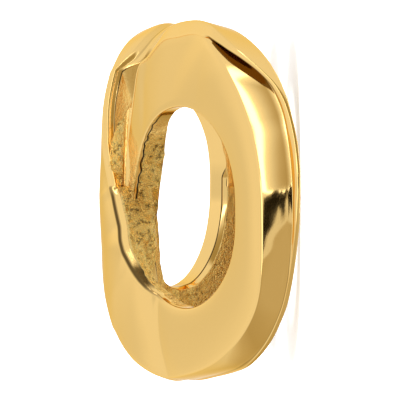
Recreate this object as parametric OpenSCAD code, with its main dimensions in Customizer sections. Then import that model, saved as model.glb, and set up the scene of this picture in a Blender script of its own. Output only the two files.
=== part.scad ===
// Infinity charm: one cast band that crosses over itself into two open lobes.
// The band is bent back at both ends, so it rests on the backs of its lobes with the crossing on top.
// X is the long way of the charm, Y its height when worn, and Z points out of the polished face.
// The origin is on the surface that the charm rests on, below the crossing.

/* [Lobes] */
// From the crossing to each lobe's centre, along the face
lobe_reach = 3.30; // [3.25:0.01:3.36]
// Radius of the path that the band follows round a lobe
path_r = 2.90; // [2.86:0.01:2.94]

/* [Bend] */
// Angle by which each lobe is bent back from the crossing
bend_deg = 29.8; // [24:0.2:33]
// From the crossing to where the bend ends and the lobe is flat
bend_reach = 2.5; // [2.2:0.05:2.8]

/* [Band] */
// Thickness of the rim at the open back
rim_t = 0.50; // [0.44:0.01:0.56]
// Thickness of the shelf at its outer edge
shelf_t = 0.10; // [0.08:0.01:0.12]
// How far the shelf slopes down towards its outer edge, as a share of its width
shelf_slope = 0.35; // [0.20:0.05:0.45]
// Bevel that breaks the edges of the face
edge_break = 0.05; // [0.03:0.01:0.06]

/* [Neck] */
// Half width of the metal that joins the two strands at the crossing, along X
neck_x = 0.90; // [0.80:0.01:0.94]
// Half width of the same metal along Y
neck_y = 2.06; // [1.90:0.02:2.10]
// How far its points lean along X into the notches between the strands, as a share of their reach
neck_lean = 0.20; // [0.10:0.02:0.24]

/* [Smoothness] */
// Steps from the crossing to a lobe's end
limb_steps = 48; // [32:4:56]

/* [Hidden] */
GOLD = "#E6C27C";

// Columns of the limb tables below, each limb running from the crossing to a lobe's end.
// way: how far along the limb, 0 at the crossing and 1 at the lobe's end
// hole_r and face_r: radii of the hole and of the face's outer edge, about the lobe's centre
// flare: how far the wall's foot stands out beyond the face's edge, and drop: how deep the foot lies
// gap: from the foot to the inner edge of the shelf behind it, and ramp: the depth of that edge
// ledge: how far the shelf's outer edge stands out beyond the face's edge
// lift: how far the face stands above the other strand's face
// fall: how far the face slopes down to its outer edge
// plate: thickness of the face plate by the wall, heel: its thickness by the hole
// depth: height of the outer wall
WAY = 0;
HOLE_R = 1;
FACE_R = 2;
FLARE = 3;
GAP = 4;
LEDGE = 5;
LIFT = 6;
FALL = 7;
DROP = 8;
RAMP = 9;
PLATE = 10;
HEEL = 11;
DEPTH = 12;

// The limb that passes over at the crossing
OVER_LIMB = [
    // way, hole_r, face_r, flare, gap, ledge, lift, fall, drop, ramp, plate, heel, depth
    [0.000, 2.22, 3.58, 0.00, 0.01, 0.02, 0.66, 0.00, 0.19, 0.20, 0.30, 0.60, 0.30],
    [0.050, 2.22, 3.58, 0.00, 0.01, 0.02, 0.66, 0.00, 0.19, 0.20, 0.29, 1.08, 0.29],
    [0.110, 2.22, 3.60, 0.00, 0.01, 0.02, 0.64, 0.01, 0.17, 0.18, 0.28, 1.00, 0.28],
    [0.200, 2.20, 3.68, 0.00, 0.01, 0.02, 0.56, 0.03, 0.16, 0.17, 0.27, 0.54, 0.27],
    [0.270, 2.20, 3.88, 0.00, 0.01, 0.02, 0.43, 0.05, 0.16, 0.17, 0.28, 0.42, 0.28],
    [0.300, 2.20, 3.94, 0.02, 0.01, 0.04, 0.35, 0.06, 0.50, 0.66, 0.34, 0.39, 0.80],
    [0.340, 2.20, 3.96, 0.03, 0.01, 0.05, 0.26, 0.06, 0.60, 0.70, 0.36, 0.38, 0.82],
    [0.386, 2.20, 3.92, 0.05, 0.01, 0.07, 0.16, 0.06, 0.62, 0.70, 0.38, 0.38, 0.82],
    [0.430, 2.20, 3.88, 0.06, 0.01, 0.08, 0.08, 0.05, 0.62, 0.70, 0.38, 0.38, 0.82],
    [0.470, 2.20, 3.83, 0.06, 0.01, 0.08, 0.03, 0.03, 0.62, 0.70, 0.38, 0.38, 0.82],
    [0.520, 2.20, 3.69, 0.06, 0.01, 0.08, 0.00, 0.00, 0.62, 0.70, 0.38, 0.38, 0.82],
    [0.583, 2.20, 3.58, 0.10, 0.01, 0.12, 0.00, 0.00, 0.62, 0.70, 0.38, 0.38, 0.82],
    [0.640, 2.20, 3.54, 0.16, 0.01, 0.18, 0.00, 0.00, 0.62, 0.70, 0.38, 0.38, 0.82],
    [0.667, 2.20, 3.53, 0.15, 0.01, 0.17, 0.00, 0.00, 0.66, 0.70, 0.38, 0.38, 0.82],
    [0.727, 2.20, 3.56, 0.04, 0.01, 0.06, 0.00, 0.00, 0.68, 0.70, 0.38, 0.38, 0.82],
    [0.799, 2.20, 3.62, -0.10, 0.01, -0.08, 0.00, 0.00, 0.68, 0.70, 0.38, 0.38, 0.82],
    [0.838, 2.20, 3.64, -0.17, 0.01, -0.15, 0.00, 0.00, 0.68, 0.70, 0.38, 0.38, 0.82],
    [0.870, 2.20, 3.56, -0.12, 0.01, -0.10, 0.00, 0.00, 0.68, 0.70, 0.38, 0.38, 0.82],
    [0.906, 2.19, 3.38, -0.01, 0.02, 0.03, 0.00, 0.00, 0.68, 0.70, 0.38, 0.38, 0.82],
    [0.948, 2.19, 3.25, 0.09, 0.03, 0.15, 0.00, 0.00, 0.69, 0.70, 0.38, 0.38, 0.82],
    [1.000, 2.18, 3.15, 0.19, 0.04, 0.30, 0.00, 0.00, 0.70, 0.69, 0.38, 0.38, 0.82]];

// The limb that passes under it
UNDER_LIMB = [
    // way, hole_r, face_r, flare, gap, ledge, lift, fall, drop, ramp, plate, heel, depth
    [0.000, 2.22, 3.25, 0.01, 0.05, 0.20, 0.00, 0.00, 0.00, 0.01, 0.60, 0.60, 0.60],
    [0.080, 2.22, 3.16, 0.01, 0.05, 0.20, 0.00, 0.00, 0.00, 0.01, 0.60, 0.60, 0.62],
    [0.144, 2.21, 2.96, 0.01, 0.05, 0.20, 0.00, 0.00, 0.00, 0.01, 0.60, 0.60, 0.64],
    [0.214, 2.20, 2.90, 0.01, 0.05, 0.20, 0.00, 0.01, 0.00, 0.01, 0.56, 0.56, 0.70],
    [0.282, 2.18, 3.08, 0.01, 0.05, 0.20, 0.00, 0.03, 0.00, 0.01, 0.48, 0.48, 0.76],
    [0.330, 2.18, 3.24, 0.01, 0.05, 0.21, 0.00, 0.05, 0.00, 0.01, 0.42, 0.42, 0.80],
    [0.360, 2.18, 3.30, 0.01, 0.05, 0.22, 0.00, 0.06, 0.00, 0.01, 0.40, 0.40, 0.82],
    [0.400, 2.18, 3.40, 0.01, 0.05, 0.26, 0.00, 0.07, 0.00, 0.01, 0.38, 0.38, 0.82],
    [0.440, 2.18, 3.54, 0.01, 0.05, 0.34, 0.00, 0.08, 0.00, 0.01, 0.38, 0.38, 0.82],
    [0.480, 2.18, 3.68, 0.01, 0.05, 0.38, 0.00, 0.08, 0.00, 0.01, 0.38, 0.38, 0.82],
    [0.540, 2.18, 3.78, 0.01, 0.05, 0.37, 0.00, 0.08, 0.00, 0.01, 0.38, 0.38, 0.82],
    [0.575, 2.18, 3.80, 0.01, 0.05, 0.33, 0.00, 0.07, 0.00, 0.01, 0.38, 0.38, 0.82],
    [0.600, 2.18, 3.76, 0.04, 0.05, 0.30, 0.00, 0.02, 0.24, 0.02, 0.38, 0.38, 0.82],
    [0.640, 2.18, 3.62, 0.14, 0.07, 0.37, 0.00, 0.00, 0.50, 0.08, 0.38, 0.38, 0.82],
    [0.680, 2.18, 3.49, 0.26, 0.08, 0.46, 0.00, 0.00, 0.62, 0.24, 0.38, 0.38, 0.82],
    [0.720, 2.18, 3.39, 0.36, 0.08, 0.52, 0.00, 0.00, 0.68, 0.44, 0.38, 0.38, 0.82],
    [0.757, 2.18, 3.35, 0.38, 0.07, 0.54, 0.00, 0.00, 0.70, 0.60, 0.38, 0.38, 0.82],
    [0.800, 2.18, 3.28, 0.38, 0.05, 0.52, 0.00, 0.00, 0.70, 0.68, 0.38, 0.38, 0.82],
    [0.855, 2.18, 3.21, 0.30, 0.04, 0.49, 0.00, 0.00, 0.70, 0.69, 0.38, 0.38, 0.82],
    [0.932, 2.18, 3.16, 0.18, 0.04, 0.38, 0.00, 0.00, 0.70, 0.69, 0.38, 0.38, 0.82],
    [1.000, 2.18, 3.15, 0.19, 0.04, 0.30, 0.00, 0.00, 0.70, 0.69, 0.38, 0.38, 0.82]];

// The least width or depth of any step in the section
least = 0.02;

// The tiers of the neck, from inside the lower strand to inside the upper one, each as
// [height above the lower face, width as a share of the full one], and how far one laps into the next
NECK_TIERS = [[-0.58, 0.68], [-0.48, 0.80], [-0.30, 0.90], [-0.12, 0.98], [0.04, 1.00],
              [0.14, 0.92], [0.24, 0.87], [0.34, 0.76], [0.44, 0.56]];
neck_lap = 0.02;

// The straight stretch at the crossing touches the circle of each lobe
straight = sqrt(lobe_reach * lobe_reach - path_r * path_r);
steep = asin(path_r / lobe_reach);
arc_deg = 90 + steep;
limb_length = straight + path_r * arc_deg * PI / 180;
bend_r = bend_reach / (bend_deg * PI / 180);

// The slope of a column at a row, level where the column turns
function slope_at(rows, i, column) =
    i == 0 || i == len(rows) - 1 ? 0 :
    let (before = (rows[i][column] - rows[i - 1][column]) / (rows[i][WAY] - rows[i - 1][WAY]),
         after = (rows[i + 1][column] - rows[i][column]) / (rows[i + 1][WAY] - rows[i][WAY]))
    before * after <= 0 ? 0 : 2 * before * after / (before + after);

// A column's value at a way along the limb, on a smooth curve through the rows
function at(rows, way, column, i = 0) =
    i >= len(rows) - 2 || way <= rows[i + 1][WAY]
        ? let (a = rows[i][column], b = rows[i + 1][column],
               run = rows[i + 1][WAY] - rows[i][WAY], k = (way - rows[i][WAY]) / run)
          a * (1 + 2 * k) * pow(1 - k, 2) + b * k * k * (3 - 2 * k)
          + run * (slope_at(rows, i, column) * k * pow(1 - k, 2)
                   - slope_at(rows, i + 1, column) * k * k * (1 - k))
        : at(rows, way, column, i + 1);

// Where a limb's path runs in the flat face before it is bent, and which way is out of the lobe
function path_angle(way) = 90 + steep - (way * limb_length - straight) / path_r * 180 / PI;
function path_point(way) = way * limb_length < straight
    ? way * limb_length * [cos(steep), sin(steep)]
    : [lobe_reach, 0] + path_r * [cos(path_angle(way)), sin(path_angle(way))];
function path_out(way) = way * limb_length < straight
    ? [-sin(steep), cos(steep)]
    : [cos(path_angle(way)), sin(path_angle(way))];

// Bends the flat face back over the crossing, and goes below it by a depth
function bent(x, y, depth) =
    let (side = x < 0 ? -1 : 1,
         turn = min(abs(x), bend_reach) / bend_r * 180 / PI,
         rest = max(abs(x) - bend_reach, 0))
    [side * (bend_r * sin(turn) + rest * cos(turn) - depth * sin(turn)), y,
     -bend_r * (1 - cos(turn)) - rest * sin(turn) - depth * cos(turn)];

// The band's section, as [out from the path, depth below the face]
function section(rows, way) =
    let (hole = at(rows, way, HOLE_R) - path_r,
         face = at(rows, way, FACE_R) - path_r,
         plate = at(rows, way, PLATE),
         heel = at(rows, way, HEEL),
         depth = at(rows, way, DEPTH),
         foot = face + at(rows, way, FLARE),
         shelf = foot + max(at(rows, way, GAP), least),
         rim = max(face + at(rows, way, LEDGE), shelf + least),
         drop = min(max(at(rows, way, DROP), least), depth - shelf_t),
         ramp = min(max(at(rows, way, RAMP), least), depth - shelf_t),
         lip = min(ramp + shelf_slope * (rim - shelf), depth - shelf_t),
         back = rim - rim_t,
         root = back - 2 * edge_break)
    [[hole, edge_break],
     [hole + edge_break, 0],
     [face - edge_break, 0],
     [face, min(edge_break, drop / 2)],
     [foot, drop],
     [shelf, ramp],
     [rim, lip],
     [rim, depth],
     [back, depth],
     [back - edge_break, min(plate + edge_break, depth)],
     [root, plate],
     [(root + hole + edge_break) / 2, (plate + heel) / 2],
     [hole + edge_break, heel],
     [hole, heel - edge_break]];

SECTION_POINTS = 14;
// Past the crossing the wall changes sides, so the section is read the other way round
function read_at(side, i) = side > 0 ? i : (3 - i + SECTION_POINTS) % SECTION_POINTS;

// One ring of the band: hand is 1 for the under limb and -1 for the over limb,
// side is 1 for the lobe at +X and -1 for the other
function ring(rows, hand, side, way) =
    let (place = path_point(way), out = path_out(way),
         lift = at(rows, way, LIFT), fall = at(rows, way, FALL),
         hole = at(rows, way, HOLE_R) - path_r, face = at(rows, way, FACE_R) - path_r,
         points = section(rows, way))
    [for (i = [0 : SECTION_POINTS - 1])
        let (p = points[read_at(side, i)], flat = place + out * p[0],
             share = (p[0] - hole) / (face - hole))
        bent(side * flat[0], side * hand * flat[1], p[1] + fall * share - lift)];

// All rings of the band, once round: out along a limb of the lobe at +X and back along its other limb,
// then the same round the other lobe. Hand and side are as for ring().
function limb_rings(hand, side) =
    [for (i = [0.5 : limb_steps - 0.5])
        ring(hand > 0 ? UNDER_LIMB : OVER_LIMB, hand, side, i / limb_steps)];
function reversed(list) = [for (i = [len(list) - 1 : -1 : 0]) list[i]];
band_rings = concat(limb_rings(-1, 1), reversed(limb_rings(1, 1)),
                    limb_rings(1, -1), reversed(limb_rings(-1, -1)));
band_points = [for (r = band_rings) each r];
// The lobes' backs are the lowest part, and the charm rests on them
foot_z = min([for (p = band_points) p[2]]);

// The band as one closed skin, each ring joined to the next and the last one to the first
module band() {
    n = SECTION_POINTS;
    count = len(band_rings);
    faces = [for (r = [0 : count - 1], i = [0 : n - 1])
        let (j = (i + 1) % n, s = (r + 1) % count,
             a = r * n + i, b = r * n + j, c = s * n + i, d = s * n + j)
        each [[a, d, b], [a, c, d]]];
    polyhedron(points = band_points, faces = faces, convexity = 8);
}

// The joining metal: a diamond whose blunt points fill the notches, smaller towards both of its ends
module neck() {
    blunt = 0.06;
    for (i = [0 : len(NECK_TIERS) - 2])
        hull()
            for (tier = [NECK_TIERS[i], NECK_TIERS[i + 1]])
                translate([0, 0, tier[0]])
                    linear_extrude(neck_lap)
                        polygon([for (s = [1, -1], k = [1, -1])
                            each let (x = s * neck_x * tier[1], y = s * neck_y * tier[1], lean = neck_lean * y)
                            k > 0 ? [[x, -s * blunt], [x, s * blunt]]
                                  : [[lean + s * blunt, y], [lean - s * blunt, y]]]);
}

module infinity_band() {
    color(GOLD)
        translate([0, 0, -foot_z])
            union() {
                band();
                neck();
            }
}

infinity_band();
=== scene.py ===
import math

import bmesh
import bpy
from mathutils import Matrix, Vector, noise


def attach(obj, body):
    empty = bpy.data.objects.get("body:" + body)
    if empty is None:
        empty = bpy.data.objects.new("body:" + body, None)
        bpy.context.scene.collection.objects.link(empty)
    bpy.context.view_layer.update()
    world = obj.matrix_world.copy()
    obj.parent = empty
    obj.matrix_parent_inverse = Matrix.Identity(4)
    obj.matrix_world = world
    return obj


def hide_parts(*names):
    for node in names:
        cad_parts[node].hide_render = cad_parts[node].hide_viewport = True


# The infinity charm: one cast gold band that crosses over itself into two open lobes.
# It rests on the backs of its lobes with the crossing on top, X along its long way,
# Y its height when worn and Z out of the polished face. Sizes are in millimetres.
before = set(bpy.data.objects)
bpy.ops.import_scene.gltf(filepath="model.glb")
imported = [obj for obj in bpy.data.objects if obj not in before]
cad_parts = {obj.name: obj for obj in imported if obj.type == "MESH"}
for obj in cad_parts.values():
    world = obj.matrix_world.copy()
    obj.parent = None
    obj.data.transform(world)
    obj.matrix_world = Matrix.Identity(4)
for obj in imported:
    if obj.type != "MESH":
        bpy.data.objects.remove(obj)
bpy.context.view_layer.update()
MM = 0.001

# From the crossing to a lobe's centre, and the radius of the band's path round it
LOBE_REACH = 3.30
PATH_R = 2.90
# How far each lobe is bent back, and how far from the crossing the bend ends
BEND_DEG = 29.8
BEND_REACH = 2.5
# Thickness of the rim at the open back, and the least thickness of the ledge
RIM_T = 0.50
LEDGE_T = 0.10
# The largest radius of the back's outline about the lobe's centre
BACK_R = 3.94
# Rounding of the face's edge, of the lifted strand's edge and of the hole's edge
EDGE_R = 0.05
LIFTED_EDGE_R = 0.12
HOLE_EDGE_R = 0.08

# Columns of the limb tables, each limb running from the crossing (way 0) to a lobe's end (way 1).
# hole_r and face_r are radii about the lobe's centre. flare is how far the wall's foot stands out
# beyond the face's edge and drop how deep it lies; behind a gap a shelf rises to the depth ramp, and
# ledge is how far its outer edge stands out. lift is how far the face stands above the other
# strand's face and fall how far it slopes down to its edge. plate is the face plate's thickness by
# the wall, heel its thickness by the hole and depth the height of the outer wall. back says how
# rough the metal is as cast under the plate, up to 1.
WAY, HOLE_R, FACE_R, FLARE, GAP, LEDGE, LIFT, FALL, DROP, RAMP, PLATE, HEEL, DEPTH, BACK = range(14)

OVER_LIMB = [
    # way, hole_r, face_r, flare, gap, ledge, lift, fall, drop, ramp, plate, heel, depth, back
    (0.000, 2.22, 3.58, 0.00, 0.01, 0.02, 0.65, 0.16, 0.24, 0.25, 0.30, 0.60, 0.30, 1.0),
    (0.050, 2.22, 3.58, 0.00, 0.01, 0.02, 0.65, 0.11, 0.24, 0.25, 0.30, 1.08, 0.30, 1.0),
    (0.110, 2.22, 3.60, 0.00, 0.01, 0.02, 0.64, 0.05, 0.24, 0.25, 0.30, 1.00, 0.30, 1.0),
    (0.200, 2.20, 3.68, 0.00, 0.01, 0.02, 0.59, 0.02, 0.24, 0.25, 0.30, 0.54, 0.30, 0.6),
    (0.270, 2.20, 3.88, 0.00, 0.01, 0.02, 0.49, 0.05, 0.24, 0.25, 0.30, 0.42, 0.30, 0.1),
    (0.300, 2.20, 3.94, 0.02, 0.01, 0.04, 0.41, 0.06, 0.50, 0.66, 0.34, 0.39, 0.80, 0.2),
    (0.340, 2.20, 3.96, 0.03, 0.01, 0.05, 0.31, 0.06, 0.60, 0.70, 0.36, 0.38, 0.82, 0.6),
    (0.386, 2.20, 3.92, 0.05, 0.01, 0.07, 0.21, 0.06, 0.62, 0.70, 0.38, 0.38, 0.82, 1.0),
    (0.430, 2.20, 3.89, 0.06, 0.01, 0.08, 0.11, 0.05, 0.62, 0.70, 0.38, 0.38, 0.82, 0.5),
    (0.452, 2.20, 3.86, 0.06, 0.01, 0.08, 0.05, 0.03, 0.62, 0.70, 0.38, 0.38, 0.82, 0.5),
    (0.463, 2.20, 3.83, 0.06, 0.01, 0.08, 0.00, 0.03, 0.62, 0.70, 0.38, 0.38, 0.82, 0.5),
    (0.520, 2.20, 3.67, 0.06, 0.01, 0.08, 0.00, 0.00, 0.62, 0.70, 0.38, 0.38, 0.82, 0.1),
    (0.583, 2.20, 3.58, 0.10, 0.01, 0.12, 0.00, 0.00, 0.62, 0.70, 0.38, 0.38, 0.82, 0.1),
    (0.640, 2.20, 3.54, 0.16, 0.01, 0.18, 0.00, 0.00, 0.62, 0.70, 0.38, 0.38, 0.82, 0.1),
    (0.667, 2.20, 3.53, 0.15, 0.01, 0.17, 0.00, 0.00, 0.66, 0.70, 0.38, 0.38, 0.82, 0.1),
    (0.727, 2.20, 3.56, 0.08, 0.01, 0.10, 0.00, 0.00, 0.68, 0.70, 0.38, 0.38, 0.82, 0.1),
    (0.799, 2.20, 3.58, -0.01, 0.01, 0.01, 0.00, 0.00, 0.68, 0.70, 0.38, 0.38, 0.82, 0.1),
    (0.838, 2.20, 3.53, -0.02, 0.01, 0.00, 0.00, 0.00, 0.68, 0.70, 0.38, 0.42, 0.82, 0.1),
    (0.870, 2.18, 3.43, 0.03, 0.01, 0.05, 0.00, 0.00, 0.68, 0.70, 0.38, 0.42, 0.82, 0.1),
    (0.906, 2.16, 3.32, 0.08, 0.02, 0.12, 0.00, 0.00, 0.68, 0.70, 0.38, 0.46, 0.82, 0.1),
    (0.948, 2.13, 3.21, 0.14, 0.03, 0.21, 0.00, 0.00, 0.69, 0.70, 0.38, 0.46, 0.82, 0.1),
    (1.000, 2.10, 3.15, 0.19, 0.04, 0.30, 0.00, 0.00, 0.70, 0.69, 0.38, 0.46, 0.82, 0.1)]

UNDER_LIMB = [
    # way, hole_r, face_r, flare, gap, ledge, lift, fall, drop, ramp, plate, heel, depth, back
    (0.000, 2.22, 3.55, 0.01, 0.05, 0.20, 0.00, 0.00, 0.00, 0.01, 0.60, 0.60, 0.60, 0.8),
    (0.080, 2.22, 3.30, 0.01, 0.05, 0.20, 0.00, -0.04, 0.00, 0.01, 0.60, 0.60, 0.62, 0.8),
    (0.144, 2.21, 3.02, 0.01, 0.05, 0.20, 0.00, -0.05, 0.00, 0.01, 0.60, 0.60, 0.64, 0.8),
    (0.214, 2.20, 3.00, 0.01, 0.05, 0.20, 0.00, -0.05, 0.00, 0.01, 0.56, 0.56, 0.70, 0.8),
    (0.282, 2.18, 3.27, 0.01, 0.05, 0.20, 0.00, -0.03, 0.00, 0.01, 0.48, 0.48, 0.76, 0.8),
    (0.330, 2.18, 3.58, 0.01, 0.05, 0.06, 0.00, 0.00, 0.00, 0.01, 0.42, 0.42, 0.80, 0.8),
    (0.360, 2.18, 3.52, 0.01, 0.05, 0.12, 0.00, 0.06, 0.00, 0.01, 0.40, 0.40, 0.82, 0.8),
    (0.400, 2.18, 3.57, 0.01, 0.05, 0.20, 0.00, 0.07, 0.00, 0.01, 0.38, 0.38, 0.82, 0.8),
    (0.440, 2.18, 3.70, 0.01, 0.05, 0.30, 0.00, 0.08, 0.00, 0.01, 0.38, 0.38, 0.82, 0.8),
    (0.480, 2.18, 3.68, 0.01, 0.05, 0.38, 0.00, 0.08, 0.00, 0.01, 0.38, 0.42, 0.82, 0.8),
    (0.540, 2.18, 3.78, 0.01, 0.05, 0.33, 0.00, 0.08, 0.00, 0.01, 0.38, 0.42, 0.82, 0.8),
    (0.575, 2.18, 3.80, 0.01, 0.05, 0.30, 0.00, 0.06, 0.00, 0.01, 0.38, 0.46, 0.82, 0.8),
    (0.600, 2.18, 3.76, 0.04, 0.05, 0.29, 0.00, 0.035, 0.24, 0.02, 0.38, 0.46, 0.82, 0.8),
    (0.640, 2.18, 3.62, 0.15, 0.07, 0.37, 0.00, 0.012, 0.50, 0.08, 0.38, 0.46, 0.82, 0.8),
    (0.680, 2.18, 3.50, 0.26, 0.08, 0.45, 0.00, 0.00, 0.62, 0.24, 0.38, 0.46, 0.82, 0.8),
    (0.720, 2.18, 3.41, 0.34, 0.08, 0.50, 0.00, 0.00, 0.68, 0.44, 0.38, 0.46, 0.82, 0.8),
    (0.757, 2.18, 3.34, 0.38, 0.07, 0.54, 0.00, 0.00, 0.70, 0.60, 0.38, 0.46, 0.82, 0.8),
    (0.800, 2.18, 3.28, 0.38, 0.05, 0.52, 0.00, 0.00, 0.70, 0.68, 0.38, 0.46, 0.82, 0.8),
    (0.855, 2.16, 3.22, 0.31, 0.04, 0.48, 0.00, 0.00, 0.70, 0.69, 0.38, 0.46, 0.82, 0.8),
    (0.932, 2.13, 3.17, 0.22, 0.04, 0.38, 0.00, 0.00, 0.70, 0.69, 0.38, 0.46, 0.82, 0.8),
    (1.000, 2.10, 3.15, 0.19, 0.04, 0.30, 0.00, 0.00, 0.70, 0.69, 0.38, 0.46, 0.82, 0.8)]

# The hole's edge. tuck is how far it lies below the face. seam is how far down its wall the metal
# changes from upper to lower, which say how rough it is, and spread how far the wall stands out
# there. edge_dark and seam_dark are how dark the painted shade is in the edge and in the seam, skin is
# how rough the face itself is, and chamfer is how much of the wall's foot is cut off.
TUCK, SEAM, SPREAD, EDGE_DARK, SEAM_DARK, SKIN, UPPER, LOWER, CHAMFER = range(14, 23)

OVER_EDGE = [
    # way, tuck, seam, spread, edge_dark, seam_dark, skin, upper, lower, chamfer
    (0.00, 0.16, 0.20, 0.00, 0.6, 0.0, 0.0, 0.0, 1.0, 0.00),
    (0.03, 0.19, 0.20, 0.08, 0.9, 0.0, 0.0, 0.0, 1.0, 0.00),
    (0.10, 0.20, 0.20, 0.10, 0.9, 0.0, 0.0, 0.0, 1.0, 0.00),
    (0.15, 0.11, 0.20, 0.10, 0.9, 0.0, 0.0, 0.0, 1.0, 0.00),
    (0.21, 0.05, 0.20, 0.08, 0.9, 0.0, 0.0, 0.1, 1.0, 0.00),
    (0.25, 0.02, 0.19, 0.06, 0.9, 0.9, 0.0, 0.2, 0.9, 0.00),
    (0.30, 0.00, 0.17, 0.03, 0.9, 0.9, 0.0, 0.1, 0.7, 0.00),
    (0.34, 0.00, 0.15, 0.01, 0.6, 0.0, 0.0, 0.0, 0.6, 0.00),
    (0.42, 0.00, 0.15, 0.00, 0.0, 0.0, 0.0, 0.0, 0.3, 0.00),
    (0.50, 0.00, 0.15, 0.00, 0.0, 0.0, 0.0, 0.0, 0.0, 0.00),
    (0.92, 0.00, 0.15, 0.00, 0.0, 0.0, 0.0, 0.0, 0.0, 0.00),
    (0.97, 0.00, 0.15, 0.00, 0.0, 0.0, 0.0, 0.0, 0.0, 0.12),
    (1.00, 0.00, 0.15, 0.00, 0.0, 0.0, 0.0, 0.0, 0.0, 0.12)]

UNDER_EDGE = [
    # way, tuck, seam, spread, edge_dark, seam_dark, skin, upper, lower, chamfer
    (0.00, 0.00, 0.09, 0.00, 0.0, 1.0, 0.9, 0.4, 1.0, 0.00),
    (0.08, 0.00, 0.09, 0.00, 0.0, 1.0, 0.7, 0.0, 1.0, 0.00),
    (0.14, 0.00, 0.09, 0.00, 0.0, 1.0, 0.2, 0.0, 1.0, 0.00),
    (0.22, 0.00, 0.09, 0.00, 0.0, 1.0, 0.0, 0.0, 1.0, 0.00),
    (0.30, 0.00, 0.09, 0.00, 0.0, 1.0, 0.0, 0.0, 0.2, 0.00),
    (0.37, 0.00, 0.09, 0.00, 0.0, 0.8, 0.0, 0.0, 0.0, 0.03),
    (0.44, 0.00, 0.09, 0.00, 0.0, 0.0, 0.0, 0.0, 0.0, 0.08),
    (0.50, 0.00, 0.09, 0.00, 0.0, 0.0, 0.0, 0.0, 0.0, 0.12),
    (1.00, 0.00, 0.15, 0.00, 0.0, 0.0, 0.0, 0.0, 0.0, 0.12)]

# How wide the chamfer is on the back for its height on the wall
CHAMFER_SHARE = 0.65
# How much of the shelf's width its outer edge lies lower
SHELF_SLOPE = 0.35
# How far along the limb the fall and the lift end later at the hole's edge than at the face's edge,
# which draws the slanting crease in the face
CREASE_LAG = 0.13
LIFT_LAG = 0.10

# A wall this much deeper than the plate is a full one. With none, the inner corners of the back
# lie at these shares of the face's width from its edge.
FULL_WALL = 0.25
UNDERSIDE_SHARES = (0.36, 0.54, 0.64)
# How far the root of the rim's inner wall stands in from its foot
ROOT_IN = 0.05
# A groove this much deeper than the ledge behind it gets its full painted shade, which makes
# its corners this dark. The foot of a wall keeps a share of that painted shade, from a shallow wall to a
# deep one.
FULL_GROOVE = 0.15
GROOVE_DARK = 0.85
SHALLOW_WALL, DEEP_WALL, FOOT_SHARE = 0.3, 0.6, 0.35
# A chamfer this high has an edge fully darkened with painted shade
FULL_CHAMFER = 0.08
# How high the face is crowned, in full from this drop of its wall on, and the shares of the tuck
# and of the fall that it gains
FACE_CROWN, CROWN_DROP = 0.03, 0.7
TUCK_CROWN, FALL_CROWN = 0.25, 0.5
# From these lifts on a strand's own crown is gone, and its shoulder is soft
FLAT_LIFT, SOFT_LIFT = 0.3, 0.05
# How high the wall is crowned, and the lifted strand's wall
WALL_CROWN, LIFTED_WALL_CROWN = 0.02, 0.05
# A rounded corner takes at most this share of the stretches beside it
ROUNDED_SHARE = 0.42
# How far the seam wanders up and down, and how often along a limb
SEAM_WANDER, SEAM_WAVES = 0.05, 45

# Height and size across of the as-cast metal's broad waves, grains and pits. The pits' grain only
# counts above its level, and metal that is less rough than the least isn't moved.
WAVE_HEIGHT, WAVE_SIZE = 0.022, 0.34
GRAIN_HEIGHT, GRAIN_SIZE = 0.016, 0.15
PIT_DEPTH, PIT_SIZE, PIT_LEVEL = 0.06, 0.30, 0.45
LEAST_ROUGH = 0.02

# The metal between the strands, as tiers of height, half length along Y, half width along X and
# roughness. It leans with the under strand, and its tiers drop towards their ends.
NECK_TIERS = [
    (-0.58, 1.40, 0.70, 1.0), (-0.50, 1.62, 0.84, 1.0), (-0.30, 1.85, 0.86, 1.0),
    (-0.12, 2.02, 0.66, 0.5), (0.02, 2.06, 0.60, 0.1), (0.08, 2.05, 0.58, 0.0),
    (0.12, 1.98, 0.56, 0.2), (0.15, 1.86, 0.56, 0.8), (0.22, 1.80, 0.56, 1.0),
    (0.30, 1.70, 0.54, 1.0), (0.38, 1.45, 0.52, 1.0), (0.44, 1.15, 0.50, 1.0)]
NECK_LEAN = 0.20
NECK_DROP = 0.09
NECK_AROUND = 72
# Above 1, a tier's outline is drawn in between its four tips
NECK_TIP_Y, NECK_TIP_X = 1.25, 1.9

# A limb's path leaves the crossing straight and then runs round the lobe's circle
STRAIGHT = math.sqrt(LOBE_REACH ** 2 - PATH_R ** 2)
STEEP = math.asin(PATH_R / LOBE_REACH)
LIMB_LENGTH = STRAIGHT + PATH_R * (math.pi / 2 + STEEP)
BEND_R = BEND_REACH / math.radians(BEND_DEG)

# How finely the metal is drawn
LIMB_RINGS = 190
CORNER_STEPS = 3
# The least distance between two corners of the section
SMALLEST = 0.004
# How far along the limb the rim's lines are evened out
EVEN_REACH = 0.025


def smooth(k):
    """Eases a share from 0 to 1."""
    k = min(max(k, 0.0), 1.0)
    return k * k * (3 - 2 * k)


def mixed(a, b, k):
    """A value between a and b."""
    return a + (b - a) * k


def slope_at(rows, i, column):
    """The slope of a column at a row, level where the column turns."""
    if i == 0 or i == len(rows) - 1:
        return 0.0
    before = (rows[i][column] - rows[i - 1][column]) / (rows[i][WAY] - rows[i - 1][WAY])
    after = (rows[i + 1][column] - rows[i][column]) / (rows[i + 1][WAY] - rows[i][WAY])
    return 0.0 if before * after <= 0 else 2 * before * after / (before + after)


def at(rows, way, column):
    """A column's value at a way along the limb, on a smooth curve through the rows."""
    i = max(k for k in range(len(rows) - 1) if rows[k][WAY] <= way)
    a, b = rows[i], rows[i + 1]
    run = b[WAY] - a[WAY]
    k = (way - a[WAY]) / run
    return (a[column] * (1 + 2 * k) * (1 - k) ** 2 + b[column] * k * k * (3 - 2 * k)
            + run * (slope_at(rows, i, column) * k * (1 - k) ** 2
                     - slope_at(rows, i + 1, column) * k * k * (1 - k)))


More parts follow.
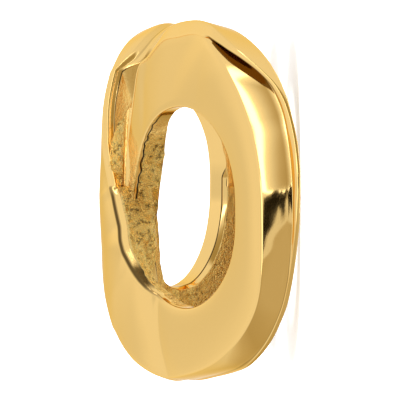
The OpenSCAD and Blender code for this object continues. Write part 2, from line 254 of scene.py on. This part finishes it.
def path(way):
    """A limb's path in the flat face before it is bent, and the way out of the lobe."""
    run = way * LIMB_LENGTH
    if run < STRAIGHT:
        return (Vector((run * math.cos(STEEP), run * math.sin(STEEP))),
                Vector((-math.sin(STEEP), math.cos(STEEP))))
    turn = math.pi / 2 + STEEP - (run - STRAIGHT) / PATH_R
    out = Vector((math.cos(turn), math.sin(turn)))
    return Vector((LOBE_REACH, 0)) + PATH_R * out, out


def bent(x, y, depth):
    """A point of the flat face bent back over the crossing, and a depth below it."""
    side = -1 if x < 0 else 1
    turn = min(abs(x), BEND_REACH) / BEND_R
    rest = max(abs(x) - BEND_REACH, 0)
    return Vector((side * (BEND_R * math.sin(turn) + rest * math.cos(turn) - depth * math.sin(turn)), y,
                   -BEND_R * (1 - math.cos(turn)) - rest * math.sin(turn) - depth * math.cos(turn)))


def drawn_rows():
    """The columns at every ring of the under limb and of the over limb. The rim's lines are evened
    out round the lobe, so that the polish runs smooth, and the steps in it stay sharp. The seam in
    the hole's wall wanders where it is dark."""
    ways = [(i + 0.5) / LIMB_RINGS for i in range(LIMB_RINGS)]
    round_lobe = [[way] + [at(rows, way, column) for column in range(1, BACK + 1)]
                  + [at(edge_rows, way, column) for column in range(1, len(edge_rows[0]))]
                  for rows, edge_rows, order in ((UNDER_LIMB, UNDER_EDGE, ways),
                                                 (OVER_LIMB, OVER_EDGE, ways[::-1]))
                  for way in order]
    reach = max(round(EVEN_REACH * LIMB_RINGS), 1)
    weights = [(k, math.cos(0.5 * math.pi * k / (reach + 1)) ** 2) for k in range(-reach, reach + 1)]
    total = sum(weight for _, weight in weights)
    made = []
    for i, row in enumerate(round_lobe):
        even = list(row)
        for column in (HOLE_R, FACE_R, FLARE, LEDGE):
            even[column] = sum(weight * round_lobe[min(max(i + k, 0), len(round_lobe) - 1)][column]
                               for k, weight in weights) / total
        wander = noise.noise(Vector((i / LIMB_RINGS * SEAM_WAVES, 3.0, 7.0)))
        even[SEAM] += SEAM_WANDER * row[SEAM_DARK] * wander
        made.append(even)
    return made[:LIMB_RINGS], made[:LIMB_RINGS - 1:-1]


def corners(row):
    """The band's section: for each corner its place (out from the path, depth), its rounding,
    then the steps, crown and roughness of the stretch from it to the next corner, and how dark the
    corner is with painted shade."""
    hole = row[HOLE_R] - PATH_R
    face = row[FACE_R] - PATH_R
    foot = face + row[FLARE]
    shelf = foot + row[GAP]
    rim = max(face + row[LEDGE], shelf + SMALLEST)
    drop, ramp = max(row[DROP], SMALLEST), max(row[RAMP], SMALLEST)
    plate, heel, depth, back = row[PLATE], row[HEEL], row[DEPTH], row[BACK]
    tuck, seam, chamfer = row[TUCK], row[TUCK] + row[SEAM], row[CHAMFER]
    # The back's outline is rounder than the shelf's
    back_rim = min(rim, BACK_R - PATH_R)
    # With no wall the corners of the back spread evenly over the plain underside
    plain = 1 - smooth((depth - plate) / FULL_WALL)
    width = face - hole
    foot_out, foot_in, root = (mixed(walled, face - share * width, plain) for walled, share in
                               zip((rim, rim - RIM_T, rim - RIM_T - ROOT_IN), UNDERSIDE_SHARES))
    drop = min(drop, depth - LEDGE_T - 2 * SMALLEST)
    ramp = min(ramp, depth - LEDGE_T - SMALLEST)
    lip = min(ramp + SHELF_SLOPE * (rim - shelf), depth - LEDGE_T)
    groove = smooth((drop - ramp) / FULL_GROOVE)
    wall_foot = FOOT_SHARE * smooth((drop - SHALLOW_WALL) / (DEEP_WALL - SHALLOW_WALL))
    # The lifted strand's face is flatter, and rolls over into its wall
    crown = (FACE_CROWN * smooth(drop / CROWN_DROP) * (1 - smooth(row[LIFT] / FLAT_LIFT))
             + TUCK_CROWN * tuck + FALL_CROWN * max(min(tuck, row[FALL]), 0.0))
    soft = smooth(row[LIFT] / SOFT_LIFT)
    cut = max(CHAMFER_SHARE * chamfer, SMALLEST)
    # Each corner's last value is how dark its painted shade is
    return [
        ((hole, tuck), HOLE_EDGE_R, 10, crown, row[SKIN], row[EDGE_DARK]),
        ((face, 0.0), mixed(EDGE_R, LIFTED_EDGE_R, soft), 6,
         mixed(WALL_CROWN, LIFTED_WALL_CROWN, soft), 0.0, 0.0),
        ((foot, drop), mixed(0.05, 0.10, groove), 3, 0.0, 0.0, GROOVE_DARK * max(groove, wall_foot)),
        ((shelf, ramp), 0.03, 2, 0.0, 0.0, GROOVE_DARK * groove),
        ((rim, lip), 0.08, 3, 0.0, 0.0, 0.0),
        # With no wall, the back's outer corner gets painted shade
        ((mixed(back_rim, face - SMALLEST, plain), depth), 0.03, 5, 0.0, 0.5 * back, 0.9 * plain),
        ((mixed(foot_in, foot_out, plain * 0.2), depth), 0.04, 8, 0.0, back, 0.0),
        ((root, plate), 0.10, 16, 0.0, back, 0.0),
        ((hole + cut, mixed(heel, plate, cut / (root - hole))), 0.02, 3, 0.0, 0.0, 0.0),
        ((hole, heel - chamfer), 0.02, 6, 0.0, row[LOWER], smooth(chamfer / FULL_CHAMFER)),
        ((hole - row[SPREAD], seam), 0.03, 4, 0.0, row[UPPER], row[SEAM_DARK])]


def outline(row):
    """The section as points (out, depth, roughness, darkness), its corners rounded and its faces
    crowned."""
    turns = corners(row)
    count = len(turns)
    places = [Vector(c[0]) for c in turns]
    lengths = [(places[(i + 1) % count] - places[i]).length for i in range(count)]
    points = []
    for i in range(count):
        place, before, after = places[i], places[i - 1], places[(i + 1) % count]
        _, radius, steps, crown, rough, dark = turns[i]
        rough_before = turns[i - 1][4]
        dark_before, dark_after = min(dark, turns[i - 1][5]), min(dark, turns[(i + 1) % count][5])
        reach = min(radius, ROUNDED_SHARE * lengths[i - 1], ROUNDED_SHARE * lengths[i])
        next_reach = min(turns[(i + 1) % count][1], ROUNDED_SHARE * lengths[i],
                         ROUNDED_SHARE * lengths[(i + 1) % count])
        start = place + (before - place).normalized() * reach
        end = place + (after - place).normalized() * reach
        for s in range(CORNER_STEPS + 1):
            k = s / CORNER_STEPS
            p = start * (1 - k) ** 2 + place * 2 * k * (1 - k) + end * k * k
            # The darkness is full in the middle third of the corner's turn and fades to its ends
            peak = min(1.5 * (1 - abs(2 * k - 1)), 1.0)
            points.append((p.x, p.y, mixed(rough_before, rough, k),
                           mixed(mixed(dark_before, dark_after, k), dark, peak)))
        along = (after - place).normalized()
        outward = Vector((along.y, -along.x))
        stop = after - along * next_reach
        for s in range(1, steps):
            k = s / steps
            p = end.lerp(stop, k) + outward * crown * 4 * k * (1 - k)
            points.append((p.x, p.y, rough, dark_after))
    return points


def behind(rows, i, column, lag):
    """A column's value farther along the limb than a ring by a share of its length."""
    spot = min(i + lag * LIMB_RINGS, LIMB_RINGS - 1.0)
    low = min(int(spot), LIMB_RINGS - 2)
    return mixed(rows[low][column], rows[low + 1][column], spot - low)


def ring(rows, i, hand, side):
    """One ring of the band. Hand is 1 for the under limb and -1 for the over limb,
    side is 1 for the lobe at +X and -1 for the other."""
    row = rows[i]
    place, out = path(row[WAY])
    hole = row[HOLE_R] - PATH_R
    width = row[FACE_R] - PATH_R - hole
    made = []
    for offset, depth, rough, dark in outline(row):
        share = (offset - hole) / width
        fall = share * behind(rows, i, FALL, CREASE_LAG * (1 - min(share, 1.0)))
        lift = behind(rows, i, LIFT, LIFT_LAG * (1 - min(max(share, 0.0), 1.0)))
        flat = place + out * offset
        made.append((bent(side * flat.x, side * hand * flat.y, depth + fall - lift), rough, dark))
    return made


def limb(hand, side):
    """All rings of a limb, from the crossing to the lobe's end."""
    rows = ROWS[0] if hand > 0 else ROWS[1]
    return [ring(rows, i, hand, side) for i in range(LIMB_RINGS)]


def foot_height(rings):
    """The lowest point, on which the charm rests."""
    return min(point.z for made in rings for point, _, _ in made)


def skin_limb(mesh, rings, rough_layer, dark_layer):
    """Adds a limb's rings to the mesh and joins each to the next."""
    made = []
    for points in rings:
        line = []
        for point, rough, dark in points:
            vert = mesh.verts.new(point * MM)
            vert[rough_layer] = rough
            vert[dark_layer] = dark
            line.append(vert)
        made.append(line)
    for one, two in zip(made, made[1:]):
        join_alike(mesh, one, two)
    return made


def join_alike(mesh, one, two):
    """Joins two rings corner to corner."""
    count = len(one)
    for i in range(count):
        j = (i + 1) % count
        mesh.faces.new((one[i], one[j], two[j], two[i]))


def join_nearest(mesh, one, two):
    """Joins two rings whose corners lie at other places, always by the shorter diagonal."""
    two = two[::-1]
    start = min(range(len(two)), key=lambda k: (two[k].co - one[0].co).length)
    two = two[start:] + two[:start]
    i = j = 0
    count = len(one)
    while i < count or j < count:
        a, b = one[i % count], two[j % count]
        next_a, next_b = one[(i + 1) % count], two[(j + 1) % count]
        if j >= count or (i < count and (next_a.co - b.co).length <= (a.co - next_b.co).length):
            mesh.faces.new((a, next_a, b))
            i += 1
        else:
            mesh.faces.new((a, next_b, b))
            j += 1


def finished(name, mesh, material):
    """Turns a drawn mesh into an object with a smooth surface."""
    bmesh.ops.recalc_face_normals(mesh, faces=mesh.faces)
    data = bpy.data.meshes.new(name)
    mesh.to_mesh(data)
    mesh.free()
    data.shade_smooth()
    data.materials.append(material)
    made = bpy.data.objects.new(name, data)
    bpy.context.collection.objects.link(made)
    return made


def grain(place, size, seed):
    """Cast grain at a place, from about -1 to 1, for grains of a size in millimetres."""
    p = place / (size * MM) + Vector((seed, 2 * seed, 3 * seed))
    return noise.noise(p) + 0.5 * noise.noise(2.1 * p)


def roughen(mesh, rough_layer):
    """Moves the as-cast metal in and out by its grain."""
    mesh.normal_update()
    moves = []
    for vert in mesh.verts:
        rough = vert[rough_layer]
        if rough < LEAST_ROUGH:
            moves.append(None)
            continue
        pit = max(grain(vert.co, PIT_SIZE, 5.0) - PIT_LEVEL, 0.0)
        move = (WAVE_HEIGHT * grain(vert.co, WAVE_SIZE, 1.0)
                + GRAIN_HEIGHT * grain(vert.co, GRAIN_SIZE, 2.0) - PIT_DEPTH * pit)
        moves.append(vert.normal * move * rough * MM)
    for vert, move in zip(mesh.verts, moves):
        if move is not None:
            vert.co += move


def make_band(material, foot):
    """The whole band: both limbs of both lobes, joined at the lobes' ends and through the crossing."""
    mesh = bmesh.new()
    rough_layer = mesh.verts.layers.float.new("as_cast")
    # This layer holds the painted shade of the section's corners
    dark_layer = mesh.verts.layers.float.new("crevice_shade")
    skins = {(hand, side): skin_limb(mesh, limb(hand, side), rough_layer, dark_layer)
             for hand in (1, -1) for side in (1, -1)}
    for side in (1, -1):
        join_alike(mesh, skins[1, side][-1], skins[-1, side][-1])
    for hand in (1, -1):
        join_nearest(mesh, skins[hand, 1][0], skins[hand, -1][0])
    bmesh.ops.recalc_face_normals(mesh, faces=mesh.faces)
    roughen(mesh, rough_layer)
    bmesh.ops.translate(mesh, verts=mesh.verts, vec=Vector((0, 0, -foot)) * MM)
    for vert in mesh.verts:
        vert.co.z = max(vert.co.z, 0.0)
    return finished("band", mesh, material)


def make_neck(material, foot):
    """The metal between the strands: a low smooth web in the corners and a rough core above it."""
    mesh = bmesh.new()
    rough_layer = mesh.verts.layers.float.new("as_cast")
    rings = []
    for height, reach, half, rough in NECK_TIERS:
        line = []
        for i in range(NECK_AROUND):
            turn = 2 * math.pi * i / NECK_AROUND
            c, s = math.cos(turn), math.sin(turn)
            y = reach * math.copysign(abs(s) ** NECK_TIP_Y, s)
            x = half * math.copysign(abs(c) ** NECK_TIP_X, c) + NECK_LEAN * y
            vert = mesh.verts.new(Vector((x, y, height - NECK_DROP * (y / 2) ** 2)) * MM)
            vert[rough_layer] = rough
            line.append(vert)
        rings.append(line)
    for one, two in zip(rings, rings[1:]):
        join_alike(mesh, one, two)
    mesh.faces.new(rings[0])
    mesh.faces.new(rings[-1])
    bmesh.ops.subdivide_edges(mesh, edges=mesh.edges, cuts=1, use_grid_fill=True)
    bmesh.ops.recalc_face_normals(mesh, faces=mesh.faces)
    roughen(mesh, rough_layer)
    bmesh.ops.translate(mesh, verts=mesh.verts, vec=Vector((0, 0, -foot)) * MM)
    return finished("neck", mesh, material)


# Materials

def linear(code):
    """An sRGB hex colour as linear light."""
    parts = [int(code[i:i + 2], 16) / 255 for i in (1, 3, 5)]
    return [c / 12.92 if c <= 0.04045 else ((c + 0.055) / 1.055) ** 2.4 for c in parts] + [1.0]


def add(tree, kind, links=(), sockets=(), **settings):
    """Adds a node with its settings, its socket values and its links from other nodes. A plain
    number among the links sets its socket."""
    node = tree.nodes.new(kind)
    for key, value in settings.items():
        setattr(node, key, value)
    for key, value in dict(sockets).items():
        node.inputs[key].default_value = value
    for key, source in dict(links).items():
        if isinstance(source, (int, float)):
            node.inputs[key].default_value = source
        else:
            tree.links.new(source, node.inputs[key])
    return node


def new_material(name):
    """An empty material with its shader and output."""
    made = bpy.data.materials.new(name)
    made.use_nodes = True
    tree = made.node_tree
    tree.nodes.clear()
    shader = add(tree, "ShaderNodeBsdfPrincipled")
    add(tree, "ShaderNodeOutputMaterial", {"Surface": shader.outputs[0]})
    return made, tree, shader


def cast_gold():
    """14K yellow gold, cast, then polished on all that shows from the front.

    The eye gets a soft mirror with faint polishing waves, and in the hollow back and
    round the crossing the dull, grainy skin that the mould left."""
    made, tree, shader = new_material("cast_gold_14k")
    place = add(tree, "ShaderNodeTexCoord").outputs["Object"]
    cast = add(tree, "ShaderNodeAttribute", attribute_name="as_cast").outputs["Fac"]
    # The mould left lumps and pits about 0.13 mm across
    lump_size = 0.13 * MM
    lumps = add(tree, "ShaderNodeTexNoise", {"Vector": place},
                {"Scale": 1 / lump_size, "Detail": 5.0, "Roughness": 0.68})
    # Polishing leaves waves about 1.5 mm long that bend the reflections a little
    wave_size = 1.5 * MM
    wave = add(tree, "ShaderNodeTexNoise", {"Vector": place}, {"Scale": 1 / wave_size, "Detail": 1.0})
    colour = add(tree, "ShaderNodeMix", {"Factor": cast},
                 {"A": linear("#F2CB80"), "B": linear("#FFE08C")}, data_type="RGBA")
    # The pits are darker with painted shade, and painted shade darkens the narrow corners
    # Painted shade in the pits: the lower the lumps, the darker the gold
    pit = add(tree, "ShaderNodeMapRange", {"Value": lumps.outputs["Fac"]},
              {"From Min": 0.47, "From Max": 0.33, "To Max": 0.80})
    pit = add(tree, "ShaderNodeMath", {0: pit.outputs["Result"], 1: cast}, operation="MULTIPLY")
    crevice_shade = add(tree, "ShaderNodeAttribute", attribute_name="crevice_shade").outputs["Fac"]
    painted_shade = add(tree, "ShaderNodeMath", {0: pit.outputs[0], 1: crevice_shade}, operation="MAXIMUM")
    # Painted shade in the corners and pits turns the gold towards dark brown
    colour = add(tree, "ShaderNodeMix", {"Factor": painted_shade.outputs[0], "A": colour.outputs["Result"]},
                 {"B": linear("#3A260C")}, data_type="RGBA")
    gloss = add(tree, "ShaderNodeMapRange", {"Value": cast}, {"To Min": 0.08, "To Max": 0.13})
    tree.links.new(colour.outputs["Result"], shader.inputs["Base Color"])
    tree.links.new(gloss.outputs["Result"], shader.inputs["Roughness"])
    # The waves and the lumps stand this high
    polish_bump = add(tree, "ShaderNodeBump", {"Height": wave.outputs["Fac"]},
                      {"Strength": 0.10, "Distance": 0.02 * MM})
    lump_height = add(tree, "ShaderNodeMath", {0: lumps.outputs["Fac"], 1: cast}, operation="MULTIPLY")
    cast_bump = add(tree, "ShaderNodeBump",
                    {"Height": lump_height.outputs[0], "Normal": polish_bump.outputs[0]},
                    {"Strength": 1.0, "Distance": 0.32 * MM})
    tree.links.new(cast_bump.outputs[0], shader.inputs["Normal"])
    shader.inputs["Metallic"].default_value = 1.0
    # Gold stays yellow where it is seen edge-on
    shader.inputs["Specular Tint"].default_value = linear("#FFE6B0")
    return made


def white_paper():
    """Smooth white studio paper: plain, dull and very pale."""
    made, tree, shader = new_material("white_paper")
    shader.inputs["Base Color"].default_value = linear("#F6F6F6")
    shader.inputs["Roughness"].default_value = 0.9
    shader.inputs["Specular IOR Level"].default_value = 0.2
    shader.inputs["Emission Color"].default_value = linear("#F6F6F6")
    shader.inputs["Emission Strength"].default_value = 0.4
    return made


# The charm
ROWS = drawn_rows()
foot = foot_height(limb(1, 1) + limb(-1, 1))
gold = cast_gold()
for piece in (make_band(gold, foot), make_neck(gold, foot)):
    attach(piece, "root")
    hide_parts("infinity_band")


# The studio

def plane(name, place, facing, width, height, material):
    """A flat rectangle that faces a direction."""
    mesh = bmesh.new()
    bmesh.ops.create_grid(mesh, x_segments=1, y_segments=1, size=0.5)
    made = finished(name, mesh, material)
    made.location = place
    made.rotation_euler = facing.to_track_quat("Z", "Y").to_euler()
    made.scale = (width, height, 1)
    return made


def softbox(name, place, target, width, height, watts):
    """A soft rectangular light that looks at a target."""
    data = bpy.data.lights.new(name, "AREA")
    data.shape = "RECTANGLE"
    data.size, data.size_y = width, height
    data.energy = watts
    made = bpy.data.objects.new(name, data)
    made.location = place
    made.rotation_euler = (Vector(target) - Vector(place)).to_track_quat("-Z", "Y").to_euler()
    bpy.context.collection.objects.link(made)
    return made


# The paper's width, and the height, width and power of the light over it, in metres and watts
PAPER_W = 12.0
LIGHT_UP, LIGHT_W, LIGHT_POWER = 0.5, 0.25, 3.0

floor = plane("floor", Vector((0, 0, 0)), Vector((0, 0, 1)), PAPER_W, PAPER_W, white_paper())

# The camera looks along the charm's long way, raised a little towards the charm's worn top (RISE)
# and above the floor (TURN). The worn height is up in the picture, so the worn front is at its left.
RISE = math.radians(3.3)
TURN = math.radians(2.25)
DISTANCE = 120.0
# Half the picture's width at the crossing, and how far the picture's centre lies from the crossing
PICTURE_HALF = 4.469
CENTRE_RIGHT, CENTRE_UP = 1.609, -0.022
toward = Vector((math.cos(RISE) * math.cos(TURN), math.sin(RISE), math.cos(RISE) * math.sin(TURN)))
right = Vector((math.sin(TURN), 0, -math.cos(TURN)))
up = toward.cross(right)
crossing = Vector((0, 0, -foot))
lens_place = crossing + DISTANCE * toward
aim = crossing + CENTRE_RIGHT * right + CENTRE_UP * up
back = (lens_place - aim).normalized()
side_way = up.cross(back).normalized()
top_way = back.cross(side_way)

camera_data = bpy.data.cameras.new("camera")
camera = bpy.data.objects.new("camera", camera_data)
bpy.context.collection.objects.link(camera)
camera.location = lens_place * MM
camera.rotation_euler = Matrix((side_way, top_way, back)).transposed().to_euler()
camera_data.sensor_fit = "HORIZONTAL"
camera_data.angle = 2 * math.atan(PICTURE_HALF / DISTANCE)
camera_data.clip_start = 0.001
camera_data.clip_end = 30
bpy.context.scene.camera = camera

# Soft light on the paper from above. The gold mirrors the studio round it instead.
paper_light = softbox("paper_light", (0, 0, LIGHT_UP), (0, 0, 0), LIGHT_W, LIGHT_W, LIGHT_POWER)
paper_light.visible_glossy = False
floor.visible_glossy = False


def through_stops(tree, value, stops):
    """A value that follows another one through stops of (value, result)."""
    low, high = stops[0][0], stops[-1][0]
    least, most = min(r for _, r in stops), max(r for _, r in stops)
    share = add(tree, "ShaderNodeMapRange", {"Value": value}, {"From Min": low, "From Max": high})
    drawn = add(tree, "ShaderNodeFloatCurve", {"Value": share.outputs["Result"]})
    points = drawn.mapping.curves[0].points
    for place, _ in stops[1:-1]:
        points.new((place - low) / (high - low), 0.5)
    for point, (place, result) in zip(points, stops):
        point.location = ((place - low) / (high - low), (result - least) / (most - least))
        point.handle_type = "VECTOR"
    drawn.mapping.update()
    return add(tree, "ShaderNodeMapRange", {"Value": drawn.outputs[0]},
               {"To Min": least, "To Max": most}).outputs["Result"]


def set_in(tree, room, part, *edges):
    """The room with a part of the studio set in. The part shows inside all its soft edges, each
    given as a value, where in it the part starts and where it is full."""
    share = None
    for value, begin, full in edges:
        edge = add(tree, "ShaderNodeMapRange", {"Value": value}, {"From Min": begin, "From Max": full})
        edge = edge.outputs["Result"]
        if share is not None:
            edge = add(tree, "ShaderNodeMath", {0: share, 1: edge}, operation="MULTIPLY").outputs[0]
        share = edge
    return add(tree, "ShaderNodeMix", {"Factor": share, "A": room, "B": part}).outputs["Result"]


# The studio by direction: turn is in degrees from +X towards +Y, and x, y and z are the parts of the
# direction. Stops are (place, brightness), and a soft edge is (where a part starts, where it is full).

# The white ceiling over y, brightest on the worn upper side, and its even middle over x
CEILING = [(-1, 1.0), (-0.35, 0.99), (-0.12, 0.88), (-0.05, 0.86), (-0.02, 0.87), (0.12, 1.05), (1, 1.0)]
MIDDLE_GLOW, MIDDLE_BACK, MIDDLE_FRONT = 0.99, (-0.44, -0.30), (0.35, 0.20)
# The z of the lamp's lower edge over turn, its brightness over the height above that edge, its soft
# edge in turn, and the ceiling's soft edge in that height
LAMP_EDGE = [(-180, -0.04), (-12, -0.04), (-8, -0.90), (4, -0.80), (8, -0.36), (18, -0.27),
             (24, -0.20), (31, -0.13), (38, -0.03), (46, 0.06), (58, 0.12), (72, 0.16), (80, 0.0),
             (86, -0.15), (180, -0.15)]
LAMP_GLOW = [(-2, 0.40), (-0.5, 0.42), (-0.3, 0.50), (-0.2, 0.62), (-0.12, 0.82), (-0.07, 1.0),
             (-0.03, 1.15), (0.0, 1.35), (0.03, 3.8), (0.13, 3.8), (0.17, 1.0), (2, 0.95)]
LAMP_START, CEILING_START = (14, 14.5), (0.13, 0.18)
# The dimmer card over z
DIM_CARD = [(-1, 1.0), (-0.92, 0.75), (-0.85, 0.62), (-0.7, 0.62), (-0.5, 0.56), (-0.3, 0.53),
            (-0.15, 0.62), (-0.05, 0.76), (0, 0.86), (1, 0.86)]
# The lighter card at the far end over z, and its soft edges in turn on both sides
FAR_CARD = [(-1, 1.0), (-0.3, 0.98), (0, 0.90), (1, 0.90)]
FAR_CARD_LEFT, FAR_CARD_RIGHT = (78, 88), (-140, -160)
# The dark gap, with its soft edges in turn and in z. Ripples make its outline ragged.
GAP_GLOW, GAP_START, GAP_END = 0.012, (3.5, 4), (14.5, 14)
GAP_BOTTOM, GAP_TOP = (-0.505, -0.495), (-0.28, -0.30)
RIPPLES, RAGGED_TURN, RAGGED_Z = 7.0, 16.0, 0.3
# The small lamp by the camera, with its soft edges in turn and in z
CAMERA_LAMP_GLOW, CAMERA_LAMP_START, CAMERA_LAMP_END = 2.2, (-16, -12), (16, 12)
CAMERA_LAMP_BOTTOM, CAMERA_LAMP_TOP = (-0.12, -0.08), (0.34, 0.30)
# The tint goes from warm to white between these brightnesses
WARM, WHITE, TINTED = "#FFE9AC", "#FFFFFF", (0.40, 0.84)


def build_studio():
    """A white ceiling, and below it a long soft lamp that slants round the worn upper side, a dimmer
    card on the other side, a dark gap between them, a lighter card at the far end and a small lamp
    by the camera."""
    world = bpy.data.worlds.new("studio")
    world.use_nodes = True
    bpy.context.scene.world = world
    tree = world.node_tree
    tree.nodes.clear()
    way = add(tree, "ShaderNodeTexCoord").outputs["Generated"]
    x, y, z = add(tree, "ShaderNodeSeparateXYZ", {"Vector": way}).outputs
    turn = add(tree, "ShaderNodeMath", {0: y, 1: x}, operation="ARCTAN2").outputs[0]
    turn = add(tree, "ShaderNodeMath", {0: turn, 1: 180 / math.pi}, operation="MULTIPLY").outputs[0]
    ripple = add(tree, "ShaderNodeTexNoise", {"Vector": way},
                 {"Scale": RIPPLES, "Detail": 4.0, "Roughness": 0.7}).outputs["Fac"]
    ragged_turn = add(tree, "ShaderNodeMath", {0: ripple, 1: RAGGED_TURN, 2: turn},
                      operation="MULTIPLY_ADD").outputs[0]
    ragged_z = add(tree, "ShaderNodeMath", {0: ripple, 1: RAGGED_Z, 2: z},
                   operation="MULTIPLY_ADD").outputs[0]
    lamp_edge = through_stops(tree, turn, LAMP_EDGE)
    over_edge = add(tree, "ShaderNodeMath", {0: z, 1: lamp_edge}, operation="SUBTRACT").outputs[0]
    ceiling = set_in(tree, through_stops(tree, y, CEILING), MIDDLE_GLOW,
                     (x, *MIDDLE_BACK), (x, *MIDDLE_FRONT))
    lamp = through_stops(tree, over_edge, LAMP_GLOW)
    far_card = through_stops(tree, z, FAR_CARD)
    room = set_in(tree, through_stops(tree, z, DIM_CARD), lamp, (ragged_turn, *LAMP_START))
    room = set_in(tree, room, far_card, (turn, *FAR_CARD_LEFT))
    room = set_in(tree, room, far_card, (turn, *FAR_CARD_RIGHT))
    room = set_in(tree, room, ceiling, (over_edge, *CEILING_START))
    room = set_in(tree, room, GAP_GLOW, (ragged_turn, *GAP_START), (ragged_turn, *GAP_END),
                  (ragged_z, *GAP_BOTTOM), (z, *GAP_TOP))
    room = set_in(tree, room, CAMERA_LAMP_GLOW, (turn, *CAMERA_LAMP_START), (turn, *CAMERA_LAMP_END),
                  (z, *CAMERA_LAMP_BOTTOM), (z, *CAMERA_LAMP_TOP))
    white = add(tree, "ShaderNodeMapRange", {"Value": room},
                {"From Min": TINTED[0], "From Max": TINTED[1]}).outputs["Result"]
    tint = add(tree, "ShaderNodeMix", {"Factor": white}, {"A": linear(WARM), "B": linear(WHITE)},
               data_type="RGBA")
    light = add(tree, "ShaderNodeBackground", {"Strength": room, "Color": tint.outputs["Result"]})
    add(tree, "ShaderNodeOutputWorld", {"Surface": light.outputs[0]})


build_studio()

# Plain colour, as the photo's
bpy.context.scene.view_settings.view_transform = "Standard"
